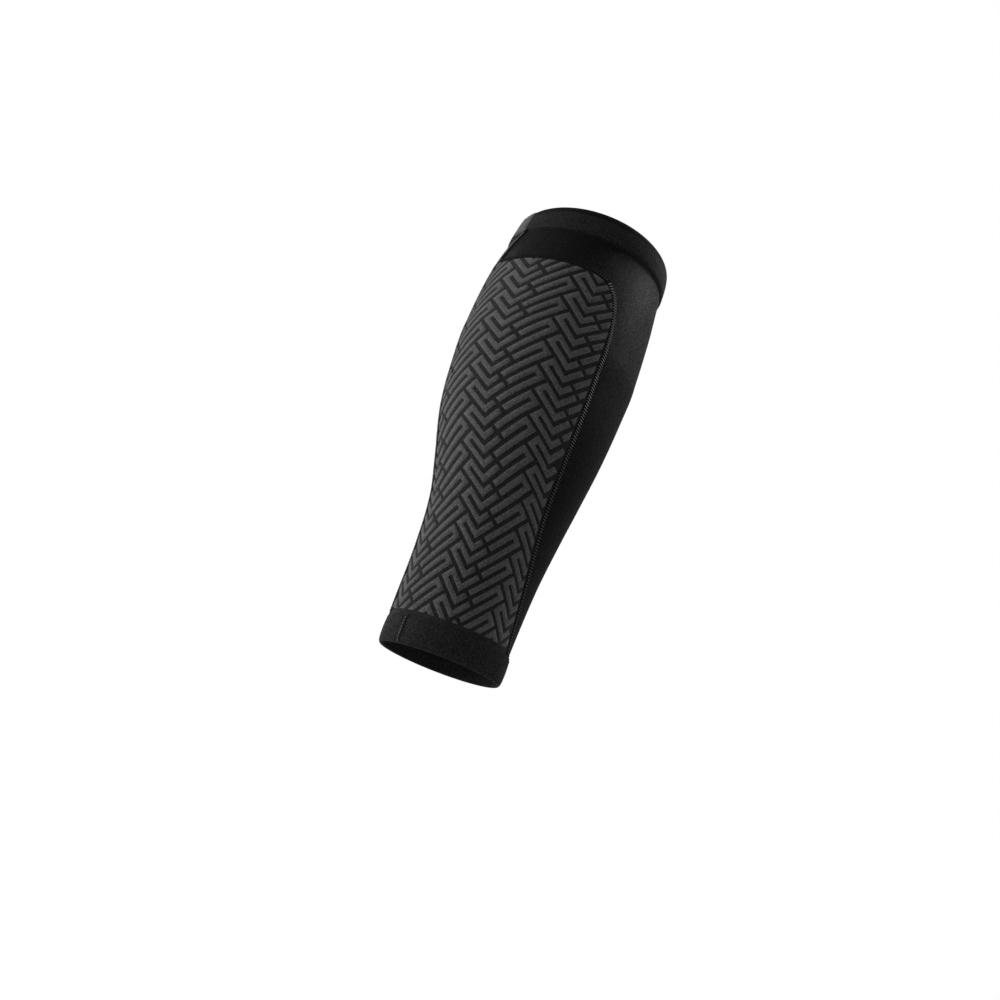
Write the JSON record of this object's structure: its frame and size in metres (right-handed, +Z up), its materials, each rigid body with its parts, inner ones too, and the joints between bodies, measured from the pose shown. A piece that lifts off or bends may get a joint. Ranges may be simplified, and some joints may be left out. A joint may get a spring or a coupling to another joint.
{
  "type": "calf compression sleeve",
  "caption": "Tapered stretch-knit tube for the lower leg in its worn form, open at both ends, with folded bands, a patterned calf panel and flat seams.",
  "frame": {"origin": "on the leg's axis at the fullest part of the calf, where the worn sleeve grips the leg", "axes": "+Z up along the leg towards the knee, +Y towards the calf, -Y towards the shin, -X the outer side of a right leg"},
  "size_m": [0.1195, 0.1333, 0.3299],
  "materials": {
    "band_knit": "matt elastic rib knit",
    "smooth_knit": "fine satin stretch knit",
    "calf_knit": "two-tone raised jacquard knit",
    "seam_thread": "light grey flatlock thread",
    "lap_knit": "stitched knit lap"
  },
  "bodies": {
    "root": {"top_band": "band_knit", "bottom_band": "band_knit", "front_panel": "smooth_knit", "calf_panel_outer": "calf_knit", "calf_panel_inner": "calf_knit", "panel_seam_outer": "seam_thread", "panel_seam_inner": "seam_thread", "back_seam": "seam_thread", "top_band_joint": "lap_knit", "bottom_band_joint": "lap_knit"}
  },
  "joints": []
}
